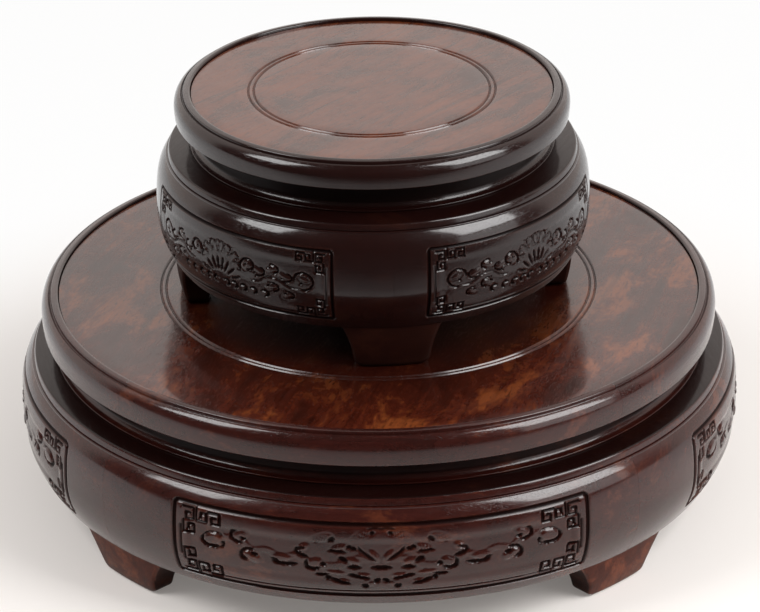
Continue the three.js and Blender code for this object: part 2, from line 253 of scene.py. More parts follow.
# Half of each carved field, from its middle outwards, which the other half mirrors.
# Leaves: place, length, width, turn and narrowing. Crest leaves are hatched.
# Stems: width and points. Cuts: width, depth and points. Pits: place, length, width, depth and turn.
# Scrolls: across, up, size and the side that they turn to.
LARGE_CREST = (
    ((9.5, 15.0), 10.5, 4.2, -22, 0.3),
    ((20.5, 8.2), 9.5, 3.8, -14, 0.3),
    ((30.0, 12.4), 12.0, 4.4, -14, 0.3),
)
LARGE_LEAVES = (
    ((3.4, 3.6), 9, 4.6, 58, 0.25),
    ((13.8, 1.0), 10, 4.2, 14, 0.1),
    ((22.5, -5.8), 13, 3.6, 6, -0.2),
    ((32.6, -0.8), 8.5, 5.6, -18, 0.1),
    ((39.0, 6.6), 9, 4.2, -32, 0.35),
    ((8.5, -6.8), 9.5, 3.0, 10, 0.2),
    ((5.2, -12.4), 7, 3.2, -28, 0.3),
    ((18.0, -10.6), 8, 2.8, 12, 0.2),
    ((49.0, 0.25), 13.75, 5.0, -6, -0.5),
    ((85.0, 3.9), 12.5, 6.6, -12, 0.1),
)
LARGE_STEMS = (
    (1.8, (4, 2.5), (12, 2.0), (22, -2.0), (33, -1.5), (41, 2.5)),
    (1.5, (41, 2.5), (49, 1.0), (57, 3.4), (64, 2.2), (70, 6.2), (79, 6.4)),
)
LARGE_CUTS = (
    (1.3, 0.8, (2.6, 1.6), (6.5, 3.8), (10.0, 6.6), (11.4, 9.0)),
    (1.8, 1.1, (-5.0, -2.5), (0, -2.7), (5.0, -2.5)),
    (1.7, 1.0, (9.8, -2.4), (13.2, -2.6), (16.6, -2.2)),
    (1.2, 0.8, (17.2, 5.6), (21.6, 5.8), (26.0, 6.4)),
    (1.6, 1.0, (5.6, -9.4), (11.0, -8.0), (16.4, -6.8)),
    (1.6, 1.0, (15.2, -12.2), (20.0, -11.4), (25.2, -9.4)),
    (1.2, 0.9, (25.4, -6.9), (29.0, -7.6), (32.6, -7.3)),
    (1.6, 1.1, (29.6, -3.2), (33.0, -4.4), (36.0, -3.6), (36.9, -1.2), (36.2, 1.0)),
    (1.5, 1.0, (37.2, 7.4), (41.6, 5.6), (40.4, 3.4), (35.4, 1.8)),
    (1.0, 0.7, (-1.0, 18.0), (3.0, 18.5), (7.0, 18.0)),
    (1.6, 1.05, (41.25, -2.125), (46.25, -3.125), (51.25, -2.75), (54.5, -0.25)),
    (0.8, 0.55, (79.0, 6.8), (83.0, 7.8), (87.5, 7.2), (90.6, 4.8)),
    (1.7, 1.15, (90.2, 5.2), (91.0, 2.6), (88.6, 0.4), (84.5, -0.3), (81.4, 0.4)),
    (1.2, 0.9, (81.4, 0.4), (79.6, 1.0), (79.4, 2.6), (80.8, 3.0)),
)
LARGE_PITS = (
    ((18.6, 1.6), 4.0, 2.0, 1.1, 20),
    ((13.6, 7.4), 2.6, 1.7, 1.0, 0),
    ((2.3, -10.4), 3.0, 1.9, 1.1, -25),
    ((8.0, -13.4), 3.0, 2.0, 1.2, 10),
    ((26.2, -9.2), 2.4, 2.0, 1.2, 0),
    ((28.4, -1.4), 2.6, 1.8, 1.1, 0),
    ((24.4, 12.0), 2.8, 1.9, 1.0, -10),
    ((52.0, -1.25), 3.2, 1.8, 1.1, 25),
    ((79.4, 2.7), 2.0, 1.5, 1.0, 60),
)
LARGE_SCROLLS = ((66.0, -0.6, 1.2, -1), (71.6, 8.0, 1.1, 1))
SMALL_CREST = (
    ((2.0, 9.2), 7.0, 3.6, 82, 0.25),
    ((6.6, 8.0), 7.0, 3.6, 55, 0.25),
    ((10.4, 5.0), 7.0, 3.6, 30, 0.25),
)
SMALL_LEAVES = (((17.2, 3.8), 8.0, 5.6, 30, 0.1), ((49.4, 2.6), 6.0, 2.8, -20, 0.2))
SMALL_PETALS = (
    ((0.2, 6.0), (1.8, 8.4), (2.6, 11.4), (1.0, 13.0), (-0.4, 11.2)),
    ((2.4, 10.6), (4.6, 12.2), (7.0, 10.8), (6.4, 8.2), (4.2, 8.8)),
    ((4.6, 5.8), (7.2, 7.6), (10.2, 9.4), (12.0, 7.2), (10.2, 5.8)),
    ((7.6, 3.4), (10.4, 4.2), (13.2, 3.6), (13.4, 1.2), (11.2, 1.2)),
)
SMALL_DROPS = (
    ((1.9, 4.6), (1.5, 1.2), (0.9, -2.8)),
    ((5.8, 3.6), (4.5, 0.4), (2.7, -3.2)),
    ((9.6, 0.4), (7.4, -1.6), (4.8, -4.0)),
    ((12.8, -3.4), (10.0, -4.4), (7.0, -5.2)),
)
SMALL_COMMAS = (3.6, 8.8, 14.6, 20.8, 27.6)
COMMA_LINE = ((-2.2, -7.6), (0.6, -7.2), (1.6, -9.2), (-0.4, -10.8))
SMALL_CUTS = (
    (1.5, 0.8, (13.6, 0.8), (13.2, 4.4), (15.6, 7.4), (19.2, 7.6), (21.2, 5.0), (19.8, 2.4), (17.4, 2.8)),
    (1.5, 0.8, (43.6, 1.2), (44.8, 4.6), (48.6, 6.2), (52.6, 4.4), (53.6, 0.6), (51.0, -2.6), (47.4, -2.8)),
    (1.2, 0.5, (19.6, -3.0), (25.0, -1.6), (29.6, 1.4), (36.0, 0.6), (41.0, -2.2), (46.6, -2.8)),
    *[(1.1, 0.5, *petal) for petal in SMALL_PETALS],
    *[(1.7, 0.8, *drop) for drop in SMALL_DROPS],
    *[(1.7, 0.9, *[(comma + across, up) for across, up in COMMA_LINE]) for comma in SMALL_COMMAS],
)
SMALL_PITS = (((16.6, 5.0), 2.4, 1.5, 0.8, 30), ((47.6, 0.4), 2.4, 1.6, 0.8, 40))
SMALL_SCROLLS = (
    (24.6, 2.6, 0.9, 1), (32.6, 5.8, 0.85, -1), (32.2, -4.0, 0.95, -1),
    (39.8, 2.0, 0.85, 1), (41.0, -7.0, 0.75, -1),
)


def root_pit(leaf):
    """Pit at the root of a crest leaf."""
    (across, up), length, _, turn, _ = leaf
    away = math.radians(turn)
    back = length * CREST_ROOT
    root = (across - math.cos(away) * back, up - math.sin(away) * back - CREST_PIT_DROP)
    return root, *CREST_PIT, turn


CREST_PITS = tuple(root_pit(leaf) for leaf in LARGE_CREST)
LARGE_FIELD = (LARGE_CREST, LARGE_LEAVES, LARGE_STEMS, LARGE_CUTS, LARGE_PITS + CREST_PITS, LARGE_SCROLLS)
SMALL_FIELD = (SMALL_CREST, SMALL_LEAVES, (), SMALL_CUTS, SMALL_PITS, SMALL_SCROLLS)


def at(turn):
    """Plan direction of an angle or an array of angles."""
    angle = np.radians(turn)
    return np.sin(angle), -np.cos(angle)


def reach_of(stand_name, piece):
    """Lowest and highest corners of a piece over all its CAD nodes, in millimetres."""
    start = f"{stand_name}_{piece}"
    boxes = np.array([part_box(node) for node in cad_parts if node.startswith(start)]) / MM
    return boxes[:, 0].min(axis=0), boxes[:, 1].max(axis=0)


class Stand:
    """Sizes of one stand, read from its solids, with the details that they don't give.

    Radii are about the stand's own axis. The stand's stain is a share of dark stain on its wood, to which
    some pieces add painted shadow. The top board's dark patch is painted shadow in front of the stand that
    stands on it, given by its place, width, depth and share, and the board also gets painted shadow inside
    the covered radius under that stand. panel_cut is the place in the tree, in metres, that the board comes
    from."""

    def __init__(self, name, body, **details):
        self.name = name
        self.body = body
        for key, value in details.items():
            setattr(self, key, value)
        foot_low, _ = reach_of(name, "foot")
        rim_low, rim_high = reach_of(name, "rim_segment")
        panel_low, panel_high = reach_of(name, "top_panel")
        waist_low, waist_high = reach_of(name, "waist")
        ledge_low, ledge_high = reach_of(name, "shoulder_segment")
        apron_low, apron_high = reach_of(name, "apron_segment")
        self.axis = (rim_low[0] + rim_high[0]) / 2
        self.floor = foot_low[2]
        self.face = panel_high[2]
        self.panel_bottom = panel_low[2]
        self.panel_radius = (panel_high[0] - panel_low[0]) / 2
        self.rim_radius = (rim_high[0] - rim_low[0]) / 2
        self.rim_bottom = rim_low[2]
        self.waist_bottom = waist_low[2]
        self.waist_top = waist_high[2]
        self.waist_radius = (waist_high[0] - waist_low[0]) / 2
        self.ledge = ledge_high[2]
        self.shoulder_bottom = ledge_low[2]
        self.apron_top = apron_high[2]
        self.apron_foot = apron_low[2] - self.apron_drop
        self.belly_radius = (apron_high[0] - apron_low[0]) / 2


LOWER = Stand(
    "lower", "lower_stand",
    field_turn=0,
    foot_turn=42.8,
    field=LARGE_FIELD,
    ring_line_radius=112.8,
    apron_top_overhang=5.4,
    apron_foot_overhang=4.4,
    apron_drop=-1.2,
    carving_size=1.0,
    stroke_widen=1.4,
    lobe_outline=0.12,
    ground_depth=0.85,
    stain_and_shadow=0.0,
    panel_grain_turn=163,
    # Painted shadow on the top board in front of and under the upper stand
    panel_heart=(-8, -98, 62, 36, 1),
    covered_radius=122,
    panel_cut=(-0.27, -0.60, -0.82),
    panel_evenness=0,
    belly_height=48,
    field_top_margin=6.3,
    field_bottom_margin=5.7,
    foot_inset=1.6,
    foot_shade=0,
    foot_top_width=58,
    foot_width=36,
)
UPPER = Stand(
    "upper", "upper_stand",
    field_turn=-43.3,
    foot_turn=5,
    field=SMALL_FIELD,
    ring_line_radius=62.7,
    apron_top_overhang=4.2,
    apron_foot_overhang=2.9,
    apron_drop=2.5,
    carving_size=0.72,
    stroke_widen=0.85,
    lobe_outline=0.15,
    ground_depth=0.4,
    stain_and_shadow=1.0,
    panel_grain_turn=140,
    panel_heart=(0, 0, 60, 60, 0),
    covered_radius=0,
    panel_cut=(-0.44, -0.08, -0.76),
    panel_evenness=0.8,
    belly_height=47.7,
    field_top_margin=8.4,
    field_bottom_margin=5.2,
    foot_inset=1.2,
    foot_shade=0.5,
    foot_top_width=50,
    foot_width=34,
)


def quadratic(start, control, end, steps):
    """Points of a quadratic curve, without its first point."""
    share = np.linspace(0, 1, steps + 1)[1:, None]
    start, control, end = (np.array(point, float) for point in (start, control, end))
    return (1 - share) ** 2 * start + 2 * share * (1 - share) * control + share ** 2 * end


def eased(corners):
    """Closed outline through (across, up, easing) corners, each sharp corner rounded by its easing."""
    places = np.array([corner[:2] for corner in corners], float)
    outline = []
    for index, corner in enumerate(corners):
        here = places[index]
        if len(corner) == 2:
            outline.append(here)
            continue
        before = places[index - 1] - here
        after = places[(index + 1) % len(places)] - here
        room = EASING_ROOM * min(np.linalg.norm(before), np.linalg.norm(after))
        cut = min(corner[2], room)
        start = here + before / np.linalg.norm(before) * cut
        end = here + after / np.linalg.norm(after) * cut
        outline.append(start)
        outline.extend(quadratic(start, here, end, EASING_STEPS))
    return np.array(outline)


def shrunk(outline):
    """A closed outline moved inwards by the easing of a seam."""
    after = np.roll(outline, -1, axis=0)
    ahead = after - outline
    normal = np.stack([ahead[:, 1], -ahead[:, 0]], axis=1)
    normal /= np.maximum(np.linalg.norm(normal, axis=1, keepdims=True), TINY)
    area = np.sum(outline[:, 0] * after[:, 1] - after[:, 0] * outline[:, 1])
    inwards = -(normal + np.roll(normal, 1, axis=0)) / 2 * np.sign(area)
    return outline + inwards * SEAM_EASE


def smooth_line(points):
    """A line through all the points, rounded between them."""
    points = np.array(points, float)
    padded = np.vstack([2 * points[0] - points[1], points, 2 * points[-1] - points[-2]])
    share = np.linspace(0, 1, LINE_STEPS + 1)[:-1, None]
    spans = []
    for before, here, after, beyond in zip(padded, padded[1:], padded[2:], padded[3:]):
        spans.append(0.5 * (2 * here + (after - before) * share
                            + (2 * before - 5 * here + 4 * after - beyond) * share ** 2
                            + (3 * here - before - 3 * after + beyond) * share ** 3))
    return np.vstack(spans + [points[-1:]])


def smooth_step(value):
    """Smooth rise from 0 at 0 to 1 at 1."""
    value = np.clip(value, 0, 1)
    return value * value * (3 - 2 * value)


def loft(name, loops, closed=False, weld=0):
    """Smooth-shaded mesh through loops of equal length, capped at both ends unless it closes on itself."""
    loops = np.array(loops)
    rows, columns = loops.shape[:2]
    index = np.arange(rows * columns).reshape(rows, columns)
    if closed:
        index = np.vstack([index, index[:1]])
    turned = np.roll(index, -1, axis=1)
    faces = np.stack([index[:-1], turned[:-1], turned[1:], index[1:]], axis=-1).reshape(-1, 4).tolist()
    if not closed:
        faces.append(index[0][::-1].tolist())
        faces.append(index[-1].tolist())
    mesh = bpy.data.meshes.new(name)
    mesh.from_pydata((loops.reshape(-1, 3) * MM).tolist(), [], faces)
    form = bmesh.new()
    form.from_mesh(mesh)
    if weld:
        bmesh.ops.remove_doubles(form, verts=form.verts, dist=weld * MM)
    bmesh.ops.recalc_face_normals(form, faces=form.faces)
    form.to_mesh(mesh)
    form.free()
    mesh.polygons.foreach_set("use_smooth", [True] * len(mesh.polygons))
    mesh.set_sharp_from_angle(angle=math.radians(SHARP_ANGLE))
    return mesh


def places_of(mesh):
    """Places of a mesh's vertices, in metres."""
    places = np.zeros(len(mesh.vertices) * 3)
    mesh.vertices.foreach_get("co", places)
    return places.reshape(-1, 3)


def new_object(name, data):
    obj = bpy.data.objects.new(name, data)
    bpy.context.scene.collection.objects.link(obj)
    return obj


def add_piece(stand, label, mesh, slot, grain_turn, wear=0, recess=0, heart=0, cut=None, even=0):
    """Object for a finished mesh, which replaces its CAD node and carries the grain of its own board.

    wear and even are shares of rubbed edges and of plain wood. The other two are shares of painted shade:
    the first darkens hollows and undersides and takes off their lacquer, the second darkens the top board in
    front of and under the upper stand, and the ledges. Each is one number, one for each point of the outline
    or one for each vertex. cut is the board's place in the tree."""
    obj = new_object(f"{label}_dressed", mesh)
    places = places_of(mesh)
    along_x, along_y = at(grain_turn)
    board = np.stack([
        places[:, 0] * along_x + places[:, 1] * along_y,
        places[:, 1] * along_x - places[:, 0] * along_y,
        places[:, 2],
    ], axis=1)
    add_piece.count += 1
    board += np.random.default_rng(add_piece.count).uniform(-1, 1, 3) if cut is None else cut
    mesh.attributes.new("board", "FLOAT_VECTOR", "POINT").data.foreach_set("vector", board.ravel())
    # The stand's dark stain, with painted shadow laid over it
    stain_and_shadow = np.maximum(stand.stain_and_shadow * (PANEL_STAIN if slot == "panel_wood" else 1), heart)
    for key, share in (("wear", wear), ("recess", recess), ("stain_and_shadow", stain_and_shadow), ("even", even)):
        values = np.resize(np.asarray(share, float), len(places))
        mesh.attributes.new(key, "FLOAT", "POINT").data.foreach_set("value", values)
    mesh.materials.append(MATERIALS[slot])
    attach(obj, stand.body)
    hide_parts(label)


add_piece.count = 0


class Nodes:
    """Short forms for making a material's nodes and joining their sockets."""

    def __init__(self, tree):
        self.tree = tree

    def add(self, kind, inputs, output=0, **settings):
        node = self.tree.nodes.new(kind)
        for key, value in settings.items():
            setattr(node, key, value)
        for key, value in inputs.items():
            if isinstance(value, bpy.types.NodeSocket):
                self.tree.links.new(value, node.inputs[key])
            else:
                node.inputs[key].default_value = value
        return node.outputs[output]

    def attribute(self, name, output="Fac"):
        return self.add("ShaderNodeAttribute", {}, output, attribute_name=name)

    def noise(self, board, grain, detail, roughness, twist=0.0):
        """Noise whose spots are as long along the board's grain, and as wide across it, as told."""
        length, width = grain
        factor = (1 / (length * MM), 1 / (width * MM), 1 / (width * MM))
        spot = self.add("ShaderNodeVectorMath", {0: board, 1: factor}, operation="MULTIPLY")
        inputs = {"Vector": spot, "Scale": 1, "Detail": detail, "Roughness": roughness, "Distortion": twist}
        return self.add("ShaderNodeTexNoise", inputs, "Fac")

    def span(self, value, low, high, first, last):
        """A value between low and high turned into one between first and last, and held there outside."""
        inputs = {"Value": value, "From Min": low, "From Max": high, "To Min": first, "To Max": last}
        return self.add("ShaderNodeMapRange", inputs, "Result", clamp=True)

    def ramp(self, value, low, high):
        """Smooth step from 0 at low to 1 at high."""
        inputs = {"Value": value, "From Min": low, "From Max": high}
        return self.add("ShaderNodeMapRange", inputs, "Result", interpolation_type="SMOOTHSTEP")

    def times(self, first, second):
        return self.add("ShaderNodeMath", {0: first, 1: second}, operation="MULTIPLY")

    def plus(self, first, second):
        return self.add("ShaderNodeMath", {0: first, 1: second}, operation="ADD")

    def mix(self, share, first, second):
        """One colour turned into another, which is a plain one, by a share."""
        if not isinstance(first, bpy.types.NodeSocket):
            first = (*first, 1)
        return self.add("ShaderNodeMix", {0: share, 6: first, 7: (*second, 1)}, 2, data_type="RGBA")

    def bump(self, height, depth, strength):
        inputs = {"Height": height, "Distance": depth * MM, "Strength": strength}
        return self.add("ShaderNodeBump", inputs, "Normal")

    def seen_by(self, *rays):
        """1 for the rays named, such as camera rays, and 0 for the light that falls on things."""
        path = self.tree.nodes.new("ShaderNodeLightPath")
        total = path.outputs[rays[0]]
        for ray in rays[1:]:
            total = self.add("ShaderNodeMath", {0: total, 1: path.outputs[ray]}, operation="MAXIMUM")
        return total


def wood(name, dark, middle, bright, figure, contrast, coat):
    """Stained and lacquered rosewood that follows each board's own grain.

    figure gives the values of the clouds over which they turn bright, contrast how plainly grain shows."""
    material = bpy.data.materials.new(name)
    material.use_nodes = True
    tree = material.node_tree
    shader = tree.nodes["Principled BSDF"]
    make = Nodes(tree)
    board = make.attribute("board", "Vector")
    recess = make.attribute("recess")

    clouds = make.noise(board, FIGURE_GRAIN, detail=7, roughness=0.76, twist=0.3)
    veins = make.noise(board, VEIN_GRAIN, detail=3, roughness=0.55, twist=0.4)
    streaks = make.noise(board, STREAK_GRAIN, detail=3, roughness=0.6)
    flecks = make.noise(board, FLECK_GRAIN, detail=2, roughness=0.5)
    pores = make.noise(board, PORE_GRAIN, detail=1, roughness=0.5)
    swell = make.noise(board, SWELL_GRAIN, detail=1, roughness=0.4)

    evenness = {0: make.attribute("even"), 2: make.ramp(clouds, *figure), 3: EVEN_SHARE}
    figured = make.add("ShaderNodeMix", evenness, data_type="FLOAT")
    base = make.mix(figured, middle, bright)
    base = make.mix(make.times(make.ramp(clouds, *CLOUD_RANGE), contrast), base, dark)
    base = make.mix(make.times(make.ramp(veins, *VEIN_RANGE), contrast * VEIN_SHARE), base, dark)
    tone = contrast * STREAK_SHARE
    streaked = {0: base, "Scale": make.span(streaks, *STREAK_RANGE, 1 - tone, 1 + tone)}
    base = make.add("ShaderNodeVectorMath", streaked, operation="SCALE")
    fleck = make.times(make.ramp(flecks, *FLECK_RANGE), make.times(figured, contrast))
    base = make.mix(fleck, base, dark)
    # The stand's dark stain, and painted shadow under and in front of the upper stand and on the ledges
    base = make.mix(make.times(make.attribute("stain_and_shadow"), STAIN_AND_SHADOW_SHARE), base, dark)
    # Painted shade in hollows, on the waists and on the feet's sides
    base = make.mix(make.times(recess, PAINTED_SHADE_SHARE), base, [value * PAINTED_SHADE_TONE for value in dark])
    worn = make.times(make.attribute("wear"), make.span(streaks, *WEAR_RANGE, *WEAR_SHARES))
    base = make.mix(worn, base, bright)
    tree.links.new(base, shader.inputs["Base Color"])

    tree.links.new(make.span(streaks, *STREAK_RANGE, *WOOD_ROUGHNESS), shader.inputs["Roughness"])
    # Painted shade also takes off the lacquer's reflection
    tree.links.new(make.span(recess, 0.0, 1.0, coat, 0.0), shader.inputs["Coat Weight"])
    shader.inputs["Coat Roughness"].default_value = COAT_ROUGHNESS
    shader.inputs["Coat IOR"].default_value = COAT_IOR
    shader.inputs["Specular IOR Level"].default_value = SPECULAR_LEVEL

    pore = make.ramp(pores, *PORE_RANGE)
    relief = make.plus(make.times(pore, -PORE_SINK), make.times(streaks, STREAK_RISE))
    tree.links.new(make.bump(relief, GRAIN_DEPTH, GRAIN_STRENGTH), shader.inputs["Normal"])
    lacquer = make.plus(swell, make.times(relief, LACQUER_GRAIN))
    tree.links.new(make.bump(lacquer, LACQUER_DEPTH, LACQUER_STRENGTH), shader.inputs["Coat Normal"])
    return material


MATERIALS = {
    "body_wood": wood(
        "rosewood_body", (0.008, 0.002, 0.0016), (0.03, 0.005, 0.0032), (0.07, 0.016, 0.007),
        figure=(0.549, 0.655), contrast=0.45, coat=0.95),
    "panel_wood": wood(
        "rosewood_panel", (0.01, 0.0015, 0.0008), (0.054, 0.0085, 0.0033), (0.145, 0.035, 0.009),
        figure=(0.5, 0.62), contrast=0.7, coat=1.0),
    "foot_wood": wood(
        "rosewood_foot", (0.018, 0.005, 0.0035), (0.058, 0.013, 0.007), (0.12, 0.032, 0.014),
        figure=(0.4825, 0.6075), contrast=0.5, coat=0.2),
    "hidden_wood": wood(
        "rosewood_hidden", (0.05, 0.02, 0.012), (0.10, 0.045, 0.025), (0.16, 0.08, 0.04),
        figure=(0.5, 0.62), contrast=0.8, coat=0.1),
}


def place(stand, section, turn, middle=None):
    """A section of radii and heights at a plan angle, moved out along its segment's middle to open seams."""
    away_x, away_y = at(turn)
    x = section[:, 0] * away_x + stand.axis
    y = section[:, 0] * away_y
    if middle is not None:
        out_x, out_y = at(middle)
        shift = SEAM_GAP / 2 / math.sin(math.radians(PLAN_STEP / 2))
        x += out_x * shift
        y += out_y * shift
    return np.stack([x, y, section[:, 1]], axis=1)


def ring(stand, outline):
    """Loops of an outline turned all the way round."""
    return [place(stand, outline, turn) for turn in np.arange(0, 360, TURN_STEP)]


def make_segments(stand, piece, outline, first_seam, **looks):
    """Four quarters of a plain ring, with eased ends and the grain along each."""
    ease = math.degrees(SEAM_EASE / np.max(outline[:, 0]))
    columns = round(PLAN_STEP / TURN_STEP) + 1
    turns = [0, *np.linspace(ease, PLAN_STEP - ease, columns), PLAN_STEP]
    inner = shrunk(outline)
    sections = [inner, *[outline] * columns, inner]
    for index in range(QUARTERS):
        seam = first_seam + index * PLAN_STEP
        middle = seam + PLAN_STEP / 2
        loops = [place(stand, section, seam + turn, middle) for section, turn in zip(sections, turns)]
        label = f"{stand.name}_{piece}_{index + 1}"
        add_piece(stand, label, loft(label, loops), "body_wood", middle + 90, **looks)


def panel_outline(stand):
    """Top board with a lip in the rim's rebate and two scribed ring lines."""
    body = stand.panel_radius - REBATE_WIDTH
    lip_bottom = stand.face - PANEL_LIP
    corners = [
        (body, stand.panel_bottom, EASE_PLAIN),
        (body, lip_bottom, EASE_FINE),
        (stand.panel_radius, lip_bottom, EASE_FINE),
        (stand.panel_radius, stand.face, EASE_FACE),
    ]
    outermost = stand.panel_radius - PANEL_STEP
    outside = np.arange(outermost, stand.ring_line_radius + RING_LINE_WIDTH, -PANEL_STEP)
    corners += [(radius, stand.face) for radius in outside]
    for radius in (stand.ring_line_radius, stand.ring_line_radius - RING_LINE_SPACING):
        corners.append((radius + RING_LINE_WIDTH / 2, stand.face, EASE_FACE))
        corners.append((radius, stand.face - RING_LINE_DEPTH, EASE_CRISP))
        corners.append((radius - RING_LINE_WIDTH / 2, stand.face, EASE_FACE))
    inside = np.arange(stand.ring_line_radius - RING_LINE_SPACING - PANEL_STEP, 0, -PANEL_STEP)
    corners += [(radius, stand.face) for radius in inside]
    corners += [(0, stand.face), (0, stand.panel_bottom)]
    return eased(corners)


def make_panel(stand):
    """Top board, with painted shadow in front of and under the stand that stands on it."""
    label = f"{stand.name}_top_panel"
    mesh = loft(label, ring(stand, panel_outline(stand)), closed=True, weld=WELD)
    # Painted shadow on this board in front of the stand on it and under that stand
    spot_x, spot_y, width, depth, share = stand.panel_heart
    x, y, _ = places_of(mesh).T / MM
    heart = share * np.exp(-((x - spot_x) / width) ** 2 - ((y - spot_y) / depth) ** 2)
    covered = smooth_step((stand.covered_radius - np.hypot(x, y)) / COVERED_EDGE)
    add_piece(stand, label, mesh, "panel_wood", stand.panel_grain_turn, heart=np.maximum(heart, covered),
              cut=stand.panel_cut, even=stand.panel_evenness)


def rim_outline(stand):
    """Rim section: rebate for the panel, flat lip, quirk and a nose that is fullest below its middle."""
    face = stand.face
    inner = stand.panel_radius + JOINT_GAP
    rebate_top = face - PANEL_LIP - JOINT_GAP
    rim_inner = stand.panel_radius - REBATE_WIDTH
    lip_top = face + RIM_LIP_HEIGHT
    quirk = inner + RIM_LIP_WIDTH
    nose_rise = (face - stand.rim_bottom + RIM_QUIRK) / 2
    nose_middle = face + RIM_QUIRK / 2 - nose_rise
    nose_centre = stand.rim_radius - NOSE_WIDTH
    foot_edge = stand.rim_radius - NOSE_UNDERCUT
    under_nose = quadratic(
        (foot_edge, stand.rim_bottom + NOSE_START),
        (stand.rim_radius, (nose_middle + stand.rim_bottom) / 2),
        (stand.rim_radius, nose_middle),
        NOSE_FOOT_STEPS,
    )
    turns = np.radians(np.linspace(0, NOSE_TOP_TURN, NOSE_STEPS + 1)[1:])
    nose = zip(nose_centre + NOSE_WIDTH * np.cos(turns), nose_middle + nose_rise * np.sin(turns))
    return eased([
        (rim_inner, stand.rim_bottom, EASE_PLAIN),
        (foot_edge, stand.rim_bottom, NOSE_FOOT),
        *under_nose,
        *nose,
        (quirk + RIM_QUIRK / 3, face - RIM_QUIRK, EASE_FINE),
        (quirk, face - RIM_QUIRK / 2, EASE_FINE),
        (quirk - RIM_QUIRK / 3, lip_top - RIM_LIP_FALL, EASE_WORKED),
        (inner + RIM_LIP_WIDTH / 4, lip_top, EASE_LIP),
        (inner, lip_top - RIM_LIP_FALL, EASE_PLAIN),
        (inner, rebate_top, EASE_FINE),
        (rim_inner, rebate_top, EASE_FINE),
    ])


def make_waist(stand):
    """Waist that leans outwards as it falls and flares to a small fillet at its foot."""
    low, high, foot = stand.waist_bottom, stand.waist_top, stand.waist_radius
    inner = foot - WAIST_WALL
    wall = foot - COVE_DEPTH
    fillet = low + WAIST_FILLET
    cove = quadratic((foot - WAIST_FILLET, fillet), (wall, fillet), (wall, low + COVE_FOOT), COVE_STEPS)
    outline = eased([
        (inner, low, EASE_HIDDEN),
        (foot, low, EASE_SHARP),
        (foot, fillet, EASE_HIDDEN),
        *cove,
        (wall - COVE_LEAN, high - WAIST_TOP),
        (wall - COVE_LEAN, high, EASE_FINE),
        (inner, high, EASE_HIDDEN),
    ])
    label = f"{stand.name}_waist"
    # Painted shade on the waist below the rim, which takes off most of its lacquer, and less on the flare at
    # its foot
    shade = np.where(outline[:, 1] > low + FLARE_HEIGHT, WAIST_SHADE, FLARE_SHADE)
    add_piece(stand, label, loft(label, ring(stand, outline), closed=True), "body_wood", 90, recess=shade)


def make_shoulders(stand):
    """Ledge that falls a little to its outer edge, with painted shade on its top."""
    edge = stand.ledge - LEDGE_FALL
    inner = stand.waist_radius - WAIST_WALL
    outer = stand.rim_radius + stand.apron_top_overhang
    outline = eased([
        (inner, stand.shoulder_bottom, EASE_HIDDEN),
        (outer, stand.shoulder_bottom, EASE_HIDDEN),
        (outer - LEDGE_FALL / 2, edge - LEDGE_FALL / 2, EASE_WORKED),
        (outer - LEDGE_FALL, edge, EASE_WORKED),
        (stand.waist_radius + WAIST_MARGIN, stand.ledge, EASE_LEDGE),
        (inner, stand.ledge, EASE_HIDDEN),
    ])
    # Painted shade on the ledge's top under the rim: darker wood with less lacquer
    on_ledge = (outline[:, 1] > edge - LEDGE_FALL / 4).astype(float)
    make_segments(stand, "shoulder_segment", outline, stand.foot_turn + SHOULDER_SEAM_LEAD,
                  recess=LEDGE_PAINTED_SHADE * on_ledge, heart=on_ledge)


def belly_at(stand, height):
    """Outer radius of the apron: a round shoulder above and a parabola below the fullest line."""
    middle = stand.floor + stand.belly_height
    above = height > middle
    edge_height = np.where(above, stand.apron_top, stand.apron_foot)
    edge_radius = stand.rim_radius + np.where(above, stand.apron_top_overhang, stand.apron_foot_overhang)
    share = (height - middle) / (edge_height - middle)
    shoulder = BELLY_EVEN * share ** 2 + (1 - BELLY_EVEN) * share ** BELLY_POWER
    return stand.belly_radius - (stand.belly_radius - edge_radius) * np.where(above, shoulder, share ** 2)


def apron_outline(stand):
    """Closed apron section and the mask of its points that lie on the belly."""
    edge_bottom = stand.apron_top - APRON_EDGE
    inner = stand.belly_radius - APRON_WALL
    rows = round((edge_bottom - stand.apron_foot) / CARVE_STEP)
    heights = np.linspace(stand.apron_foot, edge_bottom, rows + 1)
    belly = np.stack([belly_at(stand, heights), heights], axis=1)
    top_radius = belly[-1, 0]
    closing = eased([
        (top_radius, edge_bottom),
        (top_radius, stand.apron_top, APRON_EDGE),
        (inner, stand.apron_top),
        (inner, stand.apron_foot),
    ])[1:]
    outline = np.vstack([belly, closing])
    return outline, np.arange(len(outline)) < len(belly)


